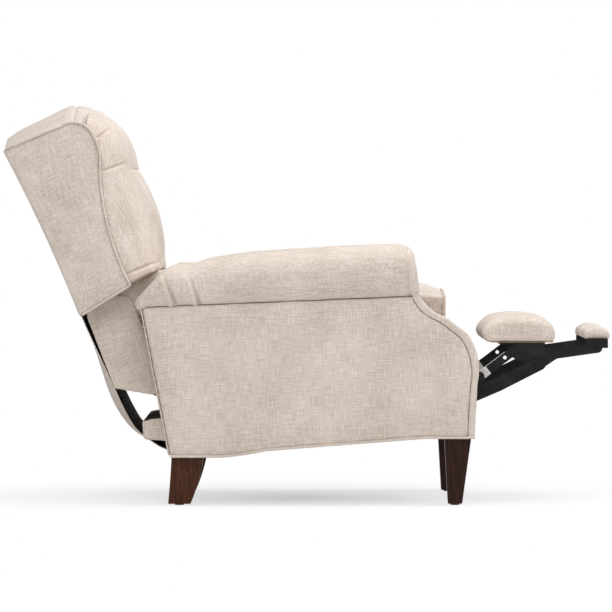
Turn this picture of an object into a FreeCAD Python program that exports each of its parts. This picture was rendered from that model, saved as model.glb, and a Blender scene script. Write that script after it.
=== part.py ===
"""Wing-back push-back recliner, leaned back with the footrest open.

Millimetres. +X is the sitter's front, +Y the sitter's left, +Z up, the floor at Z = 0.
Places near the rear are measured from the rear foot of the arm, places near the front from
the foot of the arm's front facing, and heights from the base line over the front legs.
The left side is drawn and the right side is its mirror image.
"""
import FreeCAD
import Part
import math
import os
from FreeCAD import Vector

os.makedirs("parts", exist_ok=True)

# Overall sizes
BASE_LENGTH = 752.0
FRONT_LEG_HEIGHT = 167.0
REAR_LEG_DROP = 46.0
SEAT_WIDTH = 552.0
BASE_CENTRE = 32.0

# Arms, from the seat outwards
INSIDE_ARM_PAD = 42.0
ARM_BOARD = 38.0
OUTSIDE_ARM_PAD = 20.0
ROLL_OVERHANG = 17.0
ROLL_REAR_LEAN = 0.88
ROLL_FRONT_LEAN = -0.13
ROLL_END_FULLNESS = 0.84
FACING_DEPTH = 18.0
FACING_DROP = 10.0
REAR_PANEL = 5.0
ARM_HEADROOM = 500.0
INSIDE_PAD_FOOT = 258.0
TRACK_RAIL_FOOT = 205.0
MECHANISM_RAIL_TOP = 80.0

# Legs
LEG_SET_OUT = 26.0
LEG_WIDTH = 62.0
LEG_TAPER = 9.0
GLIDE_THICKNESS = 3.0
GLIDE_RADIUS = 11.0
BOLT_RADIUS = 4.0
BOLT_REACH = 35.0

# Back
WING_OVERHANG = 64.0
WING_PAD = 28.0
POST_WIDTH = 32.0
POST_DEPTH = 64.0
OUTSIDE_BACK = 12.0
BACK_ROOM = 30.0
BACK_RAIL_HEIGHT = 70.0
BACK_RAIL_FEET = (352.0, 608.0)
LOWER_RAIL_LIFT = 10.0
RAIL_CLEARANCE = 4.0
LOWER_SIDE_PAD = 10.0
LOWER_BACK_CLEARANCE = 1.5
STRAP_THICKNESS = 2.0
STRAP_WIDTH = 50.0
STRAP_PITCH = 95.0
FIRST_STRAP = 190.0
STRAP_COUNT = 5
FLAP_THICKNESS = 3.0
FLAP_CLEARANCE = 14.0

# Steel mechanism: flat bars in layers, counted inwards from the arm
STEEL = 3.0
LAYER_GAP = 0.5
LINK_RADIUS = 16.0
BAR_RADIUS = 11.0
HUB_RADIUS = 22.0
HINGE_ARM_RADIUS = 15.0
BRACKET_RADIUS = 14.0
FLIPPER_RADIUS = 12.0
PIN_RADIUS = 6.0
PIN_CLEARANCE = 0.05
PIN_HEAD_RADIUS = 10.0
PIN_HEAD = 2.5
PIN_END_PLAY = 0.2
POCKET_CLEARANCE = 0.3
SCREW_RADIUS = 3.0
SCREW_LENGTH = 28.0
SCREW_SHARES = (0.14, 0.8)
TUBE_RADIUS = 11.0
TUBE_WALL = 2.0
TUBE_SHARE = 0.35
FLANGE_WIDTH = 40.0

# Seat
SEAT_RAIL_WIDTH = 28.0
SEAT_RAIL_HEIGHT = 40.0
SEAT_RAIL_INSET = 33.0
SEAT_FRAME_FOOT = 223.0
WEBBING_THICKNESS = 2.0
WEBBING_WIDTH = 50.0
WEBBING_COUNT = 6
DECK_THICKNESS = 2.0
CUSHION_CLEARANCE = 8.0
CUSHION_WAIST = 6.0
TRACK_DEPTH = 26.0
TRACK_HEIGHT = 22.0
TRACK_WALL = 2.5
TRACK_RAIL_LAP = 20.0
RUNNER_REAR_GAP = 30.0
RUNNER_FRONT_GAP = 50.0
RUNNER_CLEARANCE = 0.3

# Footrest
PAD_CLEARANCE = 10.0
PAD_END_DROP = 0.84
FOOTREST_BOARD = 12.0
BOARD_EDGE = 11.0
FLIPPER_BOARD = 8.0
FLIPPER_INSET = 26.0

# Worked out from the sizes above
REAR = BASE_CENTRE - BASE_LENGTH / 2
FRONT = BASE_CENTRE + BASE_LENGTH / 2
ARM_INNER = SEAT_WIDTH / 2
BOARD_INNER = ARM_INNER + INSIDE_ARM_PAD
BOARD_OUTER = BOARD_INNER + ARM_BOARD
ARM_OUTER = BOARD_OUTER + OUTSIDE_ARM_PAD
ROLL_OUTER = ARM_OUTER + ROLL_OVERHANG
BOARD_MIDDLE = (BOARD_INNER + BOARD_OUTER) / 2
BACK_HALF_WIDTH = ARM_INNER + WING_OVERHANG
BACK_RAIL_DEPTH = BACK_ROOM - OUTSIDE_BACK


def layer(number):
    """Inner and outer distance from the middle plane of one layer of steel."""
    outer = ARM_INNER - number * (STEEL + LAYER_GAP)
    return outer - STEEL, outer


PLATE_LAYER = layer(0)
LOWER_LINK_LAYER = layer(1)
FRONT_LINK_LAYER = layer(2)
UPPER_LINK_LAYER = layer(3)
BRACKET_LAYER = layer(4)
FLIPPER_LAYER = layer(5)


def rear(x, z):
    return REAR + x, FRONT_LEG_HEIGHT + z


def front(x, z):
    return FRONT + x, FRONT_LEG_HEIGHT + z


def between(a, b, share):
    return a[0] + share * (b[0] - a[0]), a[1] + share * (b[1] - a[1])


# Pivots, with the footrest open
BACK_PIVOT = rear(224, -2)
FRONT_PIVOT = front(-97, 58.3)
REAR_PIVOT = front(-173.5, 23)
ELBOW = front(11.8, 144)
KNEE = front(59.2, 125.4)
TAIL = front(-42.8, 102.9)
BRACKET_PIVOT = front(97.4, 208.5)
BRACKET_EAR = front(163.4, 178.5)
FLIPPER_PIVOT = front(197, 201.5)


def wire(start, steps, y=0.0):
    """Closed outline in an upright plane: a step of two numbers is a line, of four an arc."""
    edges = []
    first = here = Vector(start[0], y, start[1])
    for step in steps:
        there = Vector(step[-2], y, step[-1])
        if len(step) == 4:
            edges.append(Part.Arc(here, Vector(step[0], y, step[1]), there).toShape())
        else:
            edges.append(Part.LineSegment(here, there).toShape())
        here = there
    edges.append(Part.LineSegment(here, first).toShape())
    return Part.Wire(edges)


def slab(outline, inner, outer):
    """Solid between two distances from the middle plane."""
    face = Part.Face(outline)
    face.translate(Vector(0, inner, 0))
    return face.extrude(Vector(0, outer - inner, 0))


def across(outline, half_width):
    return slab(outline, -half_width, half_width)


def block(x0, x1, y0, y1, z0, z1):
    return Part.makeBox(x1 - x0, y1 - y0, z1 - z0, Vector(x0, y0, z0))


def rod(place, radius, inner, outer):
    """Round bar across the chair."""
    return Part.makeCylinder(radius, outer - inner, Vector(place[0], inner, place[1]), Vector(0, 1, 0))


def strip(a, b, radius, span):
    """Flat bar with round ends from a to b."""
    length = math.hypot(b[0] - a[0], b[1] - a[1])
    ux, uz = (b[0] - a[0]) / length * radius, (b[1] - a[1]) / length * radius
    outline = wire(
        (a[0] - uz, a[1] + ux),
        [
            (a[0] - ux, a[1] - uz, a[0] + uz, a[1] - ux),
            (b[0] + uz, b[1] - ux),
            (b[0] + ux, b[1] + uz, b[0] - uz, b[1] + ux),
        ],
    )
    return slab(outline, *span)


def joined(solids):
    first, *rest = solids
    return first.fuse(rest).removeSplitter() if rest else first


def flat_link(runs, radius, span, holes):
    """Pressed steel link: bars joined where they meet, with a running hole at each pivot."""
    body = joined([strip(a, b, radius, span) for a, b in runs])
    for place in holes:
        body = body.cut(rod(place, PIN_RADIUS + PIN_CLEARANCE, *span))
    return body


def pin(place, inner, outer, head_at):
    """Shouldered rivet with a flat head outside one of its ends."""
    head = (inner - PIN_HEAD, inner) if head_at == "inner" else (outer, outer + PIN_HEAD)
    return joined([rod(place, PIN_RADIUS, inner, outer), rod(place, PIN_HEAD_RADIUS, *head)])


def mirrored(shape):
    return shape.mirror(Vector(0, 0, 0), Vector(0, 1, 0))


def save(name, shape):
    shape.exportStep("parts/" + name + ".step")


def save_pair(name, left):
    save("left_" + name, left)
    save("right_" + name, mirrored(left))


def save_group(name, left):
    """Left pieces of one kind and their mirror images share a node."""
    save(name, Part.makeCompound(left + [mirrored(solid) for solid in left]))


# Arm: a plywood board between pads, with a rolled top and a scooped front facing
SEAM_REAR = rear(-70, 319)
SEAM_FRONT = front(-132, 347)


def facing_line(dx, dz):
    """Front of the arm from the base line up to the roll, moved back and down."""
    return [
        front(7 + dx, 133 + dz),
        front(3 + dx, 215 + dz) + front(-18 + dx, 256 + dz),
        front(-70 + dx, 295 + dz),
        front(-113 + dx, 320 + dz) + front(-132 + dx, 345 + dz),
    ]


def seam_height(x):
    """Height of the seam under the roll."""
    share = (x - SEAM_REAR[0]) / (SEAM_FRONT[0] - SEAM_REAR[0])
    return SEAM_REAR[1] + share * (SEAM_FRONT[1] - SEAM_REAR[1])


def arm_layer(inner, outer):
    """Arm behind its facing and under its roll, between two distances from the middle."""
    line = facing_line(-FACING_DEPTH, -FACING_DROP)
    top = line[-1][2]
    rear_top = SEAM_REAR[0] + REAR_PANEL
    outline = wire(
        rear(REAR_PANEL, -REAR_LEG_DROP),
        [
            rear(129, -REAR_LEG_DROP),
            rear(184, 6 - REAR_LEG_DROP) + rear(239, 16 - REAR_LEG_DROP),
            front(-127, 0),
            front(-FACING_DEPTH, 0),
            *line,
            (top, seam_height(top)),
            (rear_top, seam_height(rear_top)),
        ],
    )
    return slab(outline, inner, outer)


def arm_rear_panel():
    """Covered panel that closes the rear of the arm, notched for the rear rail."""
    foot = rear(0, -REAR_LEG_DROP)
    inside = [(x + REAR_PANEL, z) for x, z in (SEAM_REAR, foot)]
    panel = slab(wire(foot, [SEAM_REAR, *inside]), ARM_INNER, ARM_OUTER)
    return panel.cut(rear_rail())


def arm_part(x0, x1, z0, z1):
    """Piece of the space inside the arm, between the seat side and the board."""
    room = block(x0, x1, ARM_INNER, BOARD_INNER, FRONT_LEG_HEIGHT + z0, FRONT_LEG_HEIGHT + z1)
    return arm_layer(ARM_INNER, BOARD_INNER).common(room)


def roll_section(x, top, lean, fullness):
    """Cross section of the rolled arm: upright inside, full and overhanging outside.

    x is its place along the seam, lean its slope along the arm, fullness its share of the full size.
    """
    seam = seam_height(x)
    rise = (top - seam) * fullness
    crown = (ARM_INNER + ROLL_OUTER) / 2

    def at(y, share):
        z = share * rise
        return Vector(x + lean * z, crown + (y - crown) * fullness, seam + z)

    inner_seam = at(ARM_INNER, 0)
    inner_side = at(ARM_INNER, 0.5)
    inner_bend = at(ARM_INNER + 0.24 * (crown - ARM_INNER), 0.86)
    crest = at(crown, 1)
    outer_bend = at(ROLL_OUTER - 0.25 * (ROLL_OUTER - crown), 0.83)
    outer_side = at(ROLL_OUTER, 0.42)
    under_bend = at(ROLL_OUTER - 0.3 * ROLL_OVERHANG, 0.17)
    outer_seam = at(ARM_OUTER, 0)
    return Part.Wire(
        [
            Part.LineSegment(inner_seam, inner_side).toShape(),
            Part.Arc(inner_side, inner_bend, crest).toShape(),
            Part.Arc(crest, outer_bend, outer_side).toShape(),
            Part.Arc(outer_side, under_bend, outer_seam).toShape(),
            Part.LineSegment(outer_seam, inner_seam).toShape(),
        ]
    )


def arm_roll():
    """Rolled arm top lofted along its length: sloped, rounded rear end and leaning front end."""
    places = [
        (rear(-75, 416), ROLL_REAR_LEAN, ROLL_END_FULLNESS),
        (rear(-61, 416), ROLL_REAR_LEAN, 1),
        (rear(44, 441), ROLL_REAR_LEAN / 2, 1),
        (rear(194, 456), 0, 1),
        (front(-355, 470), 0, 1),
        (front(-203, 476), ROLL_FRONT_LEAN, 1),
        (front(-146, 474), ROLL_FRONT_LEAN, 1),
        (front(-132, 474), ROLL_FRONT_LEAN, ROLL_END_FULLNESS),
    ]
    return Part.makeLoft([roll_section(x, top, lean, full) for (x, top), lean, full in places], True, True)


def arm_facing():
    """Padded front facing, a band of even depth along the scooped front."""
    outside = facing_line(0, 0)
    knee, bend, slope, rise = facing_line(-FACING_DEPTH, -FACING_DROP)
    outline = wire(
        front(0, 0),
        outside + [rise[2:], rise[:2] + slope, bend[2:], bend[:2] + knee, front(-FACING_DEPTH, 0)],
    )
    return slab(outline, ARM_INNER, ARM_OUTER)


# Legs: square tapered in front, swept back behind, each on a hanger bolt with a floor glide
LEG_INNER = ARM_INNER + LEG_SET_OUT
FRONT_LEG_TOP = (front(-74, 0), front(-8, 0))
FRONT_LEG_FOOT = (front(-65, 0), front(-30, 0))
REAR_LEG_TOP = (rear(8, -REAR_LEG_DROP), rear(86, -REAR_LEG_DROP))
REAR_LEG_FOOT = (rear(-1, 0), rear(54, 0))
REAR_LEG_BEND = (rear(3, 0), rear(70, 0))
REAR_BEND_SHARE = 0.36


def leg(rings):
    """Leg lofted through level rectangles, each (front and rear corner, taper, height)."""
    outlines = []
    for (back, fore), taper, z in rings:
        inner = LEG_INNER + taper
        outer = LEG_INNER + LEG_WIDTH - 2 * taper
        corners = [
            Vector(back[0], inner, z),
            Vector(fore[0], inner, z),
            Vector(fore[0], outer, z),
            Vector(back[0], outer, z),
        ]
        outlines.append(Part.makePolygon(corners + corners[:1]))
    return Part.makeLoft(outlines, True, len(rings) == 2)


def bolt(place, radius):
    """Hanger bolt, or its hole, half in the leg and half in the arm board."""
    foot = Vector(place[0], BOARD_MIDDLE, place[1] - BOLT_REACH)
    return Part.makeCylinder(radius, 2 * BOLT_REACH, foot)


def glide(foot):
    middle = between(*foot, 0.5)[0]
    across_leg = LEG_INNER + (LEG_WIDTH - LEG_TAPER) / 2
    return Part.makeCylinder(GLIDE_RADIUS, GLIDE_THICKNESS, Vector(middle, across_leg, 0))


def build_arms():
    bolts = [between(*FRONT_LEG_TOP, 0.5), between(*REAR_LEG_TOP, 0.5)]
    holes = [bolt(place, BOLT_RADIUS + PIN_CLEARANCE) for place in bolts]
    rear_top = REAR_LEG_TOP[0][1]
    bend_height = GLIDE_THICKNESS + REAR_BEND_SHARE * (rear_top - GLIDE_THICKNESS)
    front_leg = leg([
        (FRONT_LEG_FOOT, LEG_TAPER, GLIDE_THICKNESS),
        (FRONT_LEG_TOP, 0, FRONT_LEG_HEIGHT),
    ])
    rear_leg = leg([
        (REAR_LEG_FOOT, LEG_TAPER, GLIDE_THICKNESS),
        (REAR_LEG_BEND, LEG_TAPER * (1 - REAR_BEND_SHARE), bend_height),
        (REAR_LEG_TOP, 0, rear_top),
    ])
    board = arm_layer(BOARD_INNER, BOARD_OUTER).cut(holes)
    save_pair("arm_board", board)
    save_pair("outside_arm", arm_layer(BOARD_OUTER, ARM_OUTER))
    save_pair("inside_arm", arm_part(SEAM_REAR[0], FRONT, INSIDE_PAD_FOOT, ARM_HEADROOM))
    save_pair("arm_roll", arm_roll())
    save_pair("arm_facing", arm_facing())
    save_group("arm_rear_panels", [arm_rear_panel()])
    save_pair("front_leg", front_leg.cut(holes[0]))
    save_pair("rear_leg", rear_leg.cut(holes[1]))
    save_group("leg_bolts", [bolt(place, BOLT_RADIUS) for place in bolts])
    save_group("leg_glides", [glide(FRONT_LEG_FOOT), glide(REAR_LEG_FOOT)])
    ends = TRACK_REAR - TRACK_RAIL_LAP, TRACK_FRONT + TRACK_RAIL_LAP
    save_group("track_rails", [arm_part(*ends, TRACK_RAIL_FOOT, INSIDE_PAD_FOOT)])


# Base: wooden rails in the arms, two cross rails, steel plates with the fixed pivots
TRACK_REAR = rear(114, 0)[0]
TRACK_FRONT = front(-268, 0)[0]
STRETCHER_BACK = front(-338, 0)[0]
STRETCHER_THICKNESS = 25.0
STRETCHER_FOOT = -12.0
STRETCHER_TOP = 48.0


def screw(place, radius):
    return rod(place, radius, PLATE_LAYER[0], PLATE_LAYER[0] + SCREW_LENGTH)


def rear_rail():
    """Covered cross rail that carries the foot of the flap."""
    outline = wire(
        rear(-66, 40), [rear(44, 59), rear(54, -37), rear(1, -37), rear(-1, -11), rear(-62, -6.5)]
    )
    return across(outline, BOARD_INNER)


def build_base():
    places = [between(BACK_PIVOT, REAR_PIVOT, share) for share in SCREW_SHARES]
    holes = [screw(place, SCREW_RADIUS + PIN_CLEARANCE) for place in places]
    pivots = [BACK_PIVOT, REAR_PIVOT, FRONT_PIVOT]
    plate = flat_link(
        [(BACK_PIVOT, REAR_PIVOT), (REAR_PIVOT, FRONT_PIVOT)], HUB_RADIUS, PLATE_LAYER, pivots
    )
    rail = arm_part(BACK_PIVOT[0] - 2 * HUB_RADIUS, FRONT, -REAR_LEG_DROP, MECHANISM_RAIL_TOP)
    save_group("mechanism_rails", [rail.cut(holes)])
    save_group("mechanism_plates", [plate.cut(holes)])
    save_group("plate_screws", [screw(place, SCREW_RADIUS) for place in places])
    reaches = [(BACK_PIVOT, HINGE_LAYER), (REAR_PIVOT, BRACKET_LAYER), (FRONT_PIVOT, FRONT_LINK_LAYER)]
    pins = []
    for place, span in reaches:
        collar = rod(place, PIN_HEAD_RADIUS, span[1] + PIN_END_PLAY, PLATE_LAYER[0])
        pins.append(joined([pin(place, span[0] - PIN_END_PLAY, ARM_INNER, "inner"), collar]))
    save_group("base_pivot_pins", pins)
    stretcher = block(
        STRETCHER_BACK, STRETCHER_BACK + STRETCHER_THICKNESS, -PLATE_LAYER[0], PLATE_LAYER[0],
        FRONT_LEG_HEIGHT + STRETCHER_FOOT, FRONT_LEG_HEIGHT + STRETCHER_TOP,
    )
    save("front_stretcher", stretcher)
    save("rear_rail", rear_rail())


# Seat: a wooden frame with webbing and a loose cushion, sliding in two channels
SEAT_BACK = rear(82, 0)[0]
SEAT_FRONT = front(-83, 0)[0]
FRAME_TOP = SEAT_FRAME_FOOT + SEAT_RAIL_HEIGHT
TRACK_FOOT = SEAT_FRAME_FOOT + 2.0
SEAT_RAIL_OUTER = ARM_INNER - SEAT_RAIL_INSET
SEAT_RAIL_INNER = SEAT_RAIL_OUTER - SEAT_RAIL_WIDTH
CUSHION_HALF = ARM_INNER - CUSHION_CLEARANCE


def seat_block(x0, x1, inner, outer, foot, top):
    return block(x0, x1, inner, outer, FRONT_LEG_HEIGHT + foot, FRONT_LEG_HEIGHT + top)


def cushion_section(x, half, welt, crown):
    """Cross section of the seat cushion: flat below, sides drawn in, crowned above."""
    floor = FRONT_LEG_HEIGHT + FRAME_TOP + WEBBING_THICKNESS + DECK_THICKNESS
    waist = (floor + welt) / 2
    corners = [Vector(x, -half, floor), Vector(x, half, floor), Vector(x, half, welt), Vector(x, -half, welt)]
    return Part.Wire(
        [
            Part.LineSegment(corners[0], corners[1]).toShape(),
            Part.Arc(corners[1], Vector(x, half - CUSHION_WAIST, waist), corners[2]).toShape(),
            Part.Arc(corners[2], Vector(x, 0, crown), corners[3]).toShape(),
            Part.Arc(corners[3], Vector(x, CUSHION_WAIST - half, waist), corners[0]).toShape(),
        ]
    )


def seat_cushion():
    """Cushion lofted from back to front: low behind, fullest over the knees, square nose."""
    places = [
        (rear(69, 321), rear(69, 331), 0),
        (rear(144, 335), rear(144, 346), 3),
        (front(-408, 346), front(-408, 370), CUSHION_WAIST),
        (front(-208, 353), front(-208, 382), CUSHION_WAIST),
        (front(-118, 352), front(-118, 380), 3),
        (front(-72, 344), front(-72, 358), 0),
    ]
    sections = [
        cushion_section(welt[0], CUSHION_HALF - draw, welt[1], crown[1]) for welt, crown, draw in places
    ]
    return Part.makeLoft(sections, True, True)


def seat_track():
    """Steel channel on the arm, open towards the seat."""
    outer = (TRACK_REAR, TRACK_FRONT, ARM_INNER - TRACK_DEPTH, ARM_INNER)
    bar = seat_block(*outer, TRACK_FOOT, TRACK_FOOT + TRACK_HEIGHT)
    room = seat_block(
        TRACK_REAR, TRACK_FRONT, ARM_INNER - TRACK_DEPTH, ARM_INNER - TRACK_WALL,
        TRACK_FOOT + TRACK_WALL, TRACK_FOOT + TRACK_HEIGHT - TRACK_WALL,
    )
    return bar.cut(room)


def seat_runner():
    """Slide bar on the seat rail, running inside the channel with play all round."""
    gap = TRACK_WALL + RUNNER_CLEARANCE
    return seat_block(
        TRACK_REAR + RUNNER_REAR_GAP, TRACK_FRONT - RUNNER_FRONT_GAP, SEAT_RAIL_OUTER, ARM_INNER - gap,
        TRACK_FOOT + gap, TRACK_FOOT + TRACK_HEIGHT - gap,
    )


def build_seat():
    save_group("seat_tracks", [seat_track()])
    side = seat_block(SEAT_BACK, SEAT_FRONT, SEAT_RAIL_INNER, SEAT_RAIL_OUTER, SEAT_FRAME_FOOT, FRAME_TOP)
    save_group("seat_side_rails", [side])
    save_group("seat_runners", [seat_runner()])
    edge = (-SEAT_RAIL_INNER, SEAT_RAIL_INNER, SEAT_FRAME_FOOT, FRAME_TOP)
    save("seat_rear_rail", seat_block(SEAT_BACK, SEAT_BACK + SEAT_RAIL_WIDTH, *edge))
    save("seat_front_rail", seat_block(SEAT_FRONT - SEAT_RAIL_WIDTH, SEAT_FRONT, *edge))
    pitch = (SEAT_FRONT - SEAT_BACK - WEBBING_WIDTH) / (WEBBING_COUNT - 1)
    web_top = FRAME_TOP + WEBBING_THICKNESS
    webs = []
    for number in range(WEBBING_COUNT):
        x = SEAT_BACK + number * pitch
        webs.append(
            seat_block(x, x + WEBBING_WIDTH, -SEAT_RAIL_OUTER, SEAT_RAIL_OUTER, FRAME_TOP, web_top)
        )
    save("seat_webbing", Part.makeCompound(webs))
    deck = (-SEAT_RAIL_OUTER, SEAT_RAIL_OUTER, web_top, web_top + DECK_THICKNESS)
    save("seat_deck", seat_block(SEAT_BACK, SEAT_FRONT, *deck))
    save("seat_cushion", seat_cushion())


# Back: two posts and rails inside, padded wings, a puffed pillow, a crowned top and a cloth flap
POST_OUTER = LOWER_LINK_LAYER[0] - LOWER_SIDE_PAD
POST_INNER = POST_OUTER - POST_WIDTH
HINGE_LAYER = (POST_OUTER, POST_OUTER + STEEL)
HINGE_RUNS = [(BACK_PIVOT, rear(-68, 131)), (rear(-68, 131), rear(-132, 245))]
POST_FOOT = rear(-111, 118)
POST_HEAD = rear(-346, 693)
WING_INNER = BACK_HALF_WIDTH - WING_PAD
LUMBAR_HALF = POST_OUTER - LOWER_BACK_CLEARANCE


def on_post(height, ahead=0.0):
    """Place on the rear line of the posts at a height, or ahead of it."""
    x, z = between(POST_FOOT, POST_HEAD, (height - POST_FOOT[1]) / (POST_HEAD[1] - POST_FOOT[1]))
    return x + ahead, z


def post_band(low, high, back, fore):
    """Outline between two heights along the lean of the posts."""
    return wire(on_post(low, back), [on_post(high, back), on_post(high, fore), on_post(low, fore)])


def wing():
    outline = wire(
        rear(-408, 705),
        [
            rear(-300, 487) + rear(-219, 296),
            rear(-94, 373),
            rear(-152, 531) + rear(-169, 656),
            rear(-176, 722) + rear(-196, 758),
            rear(-224, 773) + rear(-262, 765),
        ],
    )
    return slab(outline, WING_INNER, BACK_HALF_WIDTH)


def outside_back():
    """Panel that closes the back, bent to the wings' rear edge."""
    top, bend, foot = rear(-394, 678), rear(-297, 487), rear(-217, 300)
    inside = [(x + OUTSIDE_BACK, z) for x, z in (top, bend, foot)]
    outline = wire(top, [bend + foot, inside[2], inside[1] + inside[0]])
    return across(outline, WING_INNER)


def back_top():
    """Crowned boxing between the wings, highest in the middle."""
    sections = []
    for step in range(-3, 4):
        share = step / 3
        lift = 1 - share**2
        sections.append(
            wire(
                rear(-391, 683),
                [
                    rear(-406 - 6 * lift, 703 + 37 * lift),
                    rear(-306 - 4 * lift, 743 + 68 * lift) + rear(-208, 762 + 56 * lift),
                    rear(-218, 728),
                ],
                share * WING_INNER,
            )
        )
    return Part.makeLoft(sections, True, True)


def pillow_section(y, puff):
    """Side profile of the pillow: two puffed chambers with a sewn channel under the head."""
    edge = [
        rear(-206, 760), rear(-177, 722), rear(-158, 656), rear(-140, 531), rear(-88, 420), rear(-84, 378)
    ]
    full = [
        rear(-202, 815), rear(-127, 765), rear(-93, 658), rear(-43, 556), rear(-20, 445), rear(-8, 411)
    ]
    head, head_puff, channel, puffed, waist, foot = [between(a, b, puff) for a, b in zip(edge, full)]
    behind = POST_DEPTH + STRAP_THICKNESS
    return wire(
        head,
        [
            head_puff + channel,
            puffed + waist,
            foot,
            rear(-94, 374),
            on_post(FRONT_LEG_HEIGHT + 345, behind),
            on_post(FRONT_LEG_HEIGHT + 671, behind),
            rear(-214, 716),
        ],
        y,
    )


def back_pillow():
    rim = BACK_HALF_WIDTH - STRAP_THICKNESS
    shares = [(-1, 0), (-0.92, 0.6), (-0.78, 0.88), (-0.4, 1), (0.4, 1), (0.78, 0.88), (0.92, 0.6), (1, 0)]
    pillow = Part.makeLoft([pillow_section(share * rim, puff) for share, puff in shares], True, True)
    return pillow.cut([wing(), mirrored(wing())])


def lumbar_pad():
    """Padded panel below the pillow, between the arms, puffed where it meets the seat."""
    behind = POST_DEPTH + STRAP_THICKNESS
    sections = []
    for share, puff in ((-1, -10), (-0.8, 0), (0, 6), (0.8, 0), (1, -10)):
        sections.append(
            wire(
                on_post(FRONT_LEG_HEIGHT + 340, behind),
                [
                    rear(-94, 372),
                    rear(-14 + puff, 404),
                    rear(34 + puff, 370) + rear(28 + puff, 317),
                    rear(-89, 285),
                    on_post(FRONT_LEG_HEIGHT + 123, behind + 22),
                    on_post(FRONT_LEG_HEIGHT + 123, behind),
                ],
                share * LUMBAR_HALF,
            )
        )
    return Part.makeLoft(sections, True, True)


def back_flap():
    """Cloth that hangs from the back to the base and closes the gap behind the seat."""
    corners = [rear(-218.5, 298), rear(-135, 79), rear(-92, 11), rear(-29, -27), rear(-2.5, -36)]
    inside = [(x + 0.87 * FLAP_THICKNESS, z + 0.5 * FLAP_THICKNESS) for x, z in corners]
    outline = wire(
        corners[0],
        [
            corners[1],
            corners[2] + corners[3],
            corners[4],
            inside[4],
            inside[3],
            inside[2] + inside[1],
            inside[0],
        ],
    )
    return across(outline, ARM_INNER - FLAP_CLEARANCE)


def build_back():
    post = post_band(POST_FOOT[1], POST_HEAD[1], 0, POST_DEPTH)
    save_group("back_posts", [slab(post, POST_INNER, POST_OUTER)])
    rails = []
    for height in BACK_RAIL_FEET:
        low = FRONT_LEG_HEIGHT + height
        rails.append(across(post_band(low, low + BACK_RAIL_HEIGHT, -BACK_RAIL_DEPTH, 0), WING_INNER))
    save("back_rails", Part.makeCompound(rails))
    low = POST_FOOT[1] + LOWER_RAIL_LIFT
    lower_rail = post_band(low, low + BACK_RAIL_HEIGHT, 0, POST_DEPTH / 2)
    save("back_lower_rail", across(lower_rail, POST_INNER))
    straps = []
    for number in range(STRAP_COUNT):
        low = FRONT_LEG_HEIGHT + FIRST_STRAP + number * STRAP_PITCH
        band = post_band(low, low + STRAP_WIDTH, POST_DEPTH, POST_DEPTH + STRAP_THICKNESS)
        straps.append(across(band, POST_OUTER))
    save("back_straps", Part.makeCompound(straps))
    low, high = FRONT_LEG_HEIGHT + 121, FRONT_LEG_HEIGHT + BACK_RAIL_FEET[0] - RAIL_CLEARANCE
    side = wire(
        rear(-203, 291),
        [
            rear(-135, 117),
            rear(-39, 101),
            on_post(low, POST_DEPTH),
            on_post(high, POST_DEPTH),
            on_post(high),
        ],
    )
    pocket = flat_link(
        HINGE_RUNS, HINGE_ARM_RADIUS + POCKET_CLEARANCE, (POST_OUTER, HINGE_LAYER[1] + POCKET_CLEARANCE), []
    )
    side_pad = slab(side, POST_OUTER, POST_OUTER + LOWER_SIDE_PAD)
    save_group("lower_back_sides", [side_pad.cut(pocket)])
    save_pair("hinge_arm", flat_link(HINGE_RUNS, HINGE_ARM_RADIUS, HINGE_LAYER, [BACK_PIVOT]))
    save_pair("wing", wing())
    save("outside_back", outside_back())
    save("back_top", back_top())
    save("back_pillow", back_pillow())
    save("lumbar_pad", lumbar_pad())
    save("back_flap", back_flap())


# Footrest: two four-bar linkages carry a padded board, and a smaller pad flips out from it
PAD_HALF = ARM_INNER - PAD_CLEARANCE
PAD_FOOT = 230.5
FLIPPER_FOOT = 239.0
FLIPPER_HALF = ARM_INNER - FLIPPER_INSET
LINK_HOLE_SHARE = 0.86
LINK_HOLE_RADIUS = 4.5


def build_links():
    torque_axis = between(REAR_PIVOT, TAIL, TUBE_SHARE)
    front_link = flat_link(
        [(FRONT_PIVOT, ELBOW), (FRONT_PIVOT, KNEE)],
        LINK_RADIUS, FRONT_LINK_LAYER, [FRONT_PIVOT, ELBOW, KNEE],
    )
    save_group("front_links", [front_link])
    save_group("elbow_pins", [
        pin(ELBOW, UPPER_LINK_LAYER[0] - PIN_END_PLAY, FRONT_LINK_LAYER[1], "inner"),
        pin(KNEE, FRONT_LINK_LAYER[0], LOWER_LINK_LAYER[1] + PIN_END_PLAY, "outer"),
    ])
    rear_link = flat_link([(REAR_PIVOT, TAIL)], LINK_RADIUS, BRACKET_LAYER, [REAR_PIVOT])
    tail_head = rod(TAIL, PIN_HEAD_RADIUS, BRACKET_LAYER[0] - PIN_HEAD, BRACKET_LAYER[0])
    save_group("rear_links", [joined([rear_link, tail_head])])
    tube = rod(torque_axis, TUBE_RADIUS, -BRACKET_LAYER[0], BRACKET_LAYER[0])
    bore = rod(torque_axis, TUBE_RADIUS - TUBE_WALL, -BRACKET_LAYER[0], BRACKET_LAYER[0])
    save("torque_tube", tube.cut(bore))
    upper_link = flat_link([(TAIL, BRACKET_PIVOT)], BAR_RADIUS, UPPER_LINK_LAYER, [ELBOW, BRACKET_PIVOT])
    hole = rod(between(TAIL, BRACKET_PIVOT, LINK_HOLE_SHARE), LINK_HOLE_RADIUS, *UPPER_LINK_LAYER)
    save_group("upper_links", [upper_link.cut(hole)])
    lower_link = flat_link([(KNEE, BRACKET_EAR)], LINK_RADIUS, LOWER_LINK_LAYER, [KNEE])
    ear_head = rod(BRACKET_EAR, PIN_HEAD_RADIUS, LOWER_LINK_LAYER[1], LOWER_LINK_LAYER[1] + PIN_HEAD)
    save_group("lower_links", [joined([lower_link, ear_head])])


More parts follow.
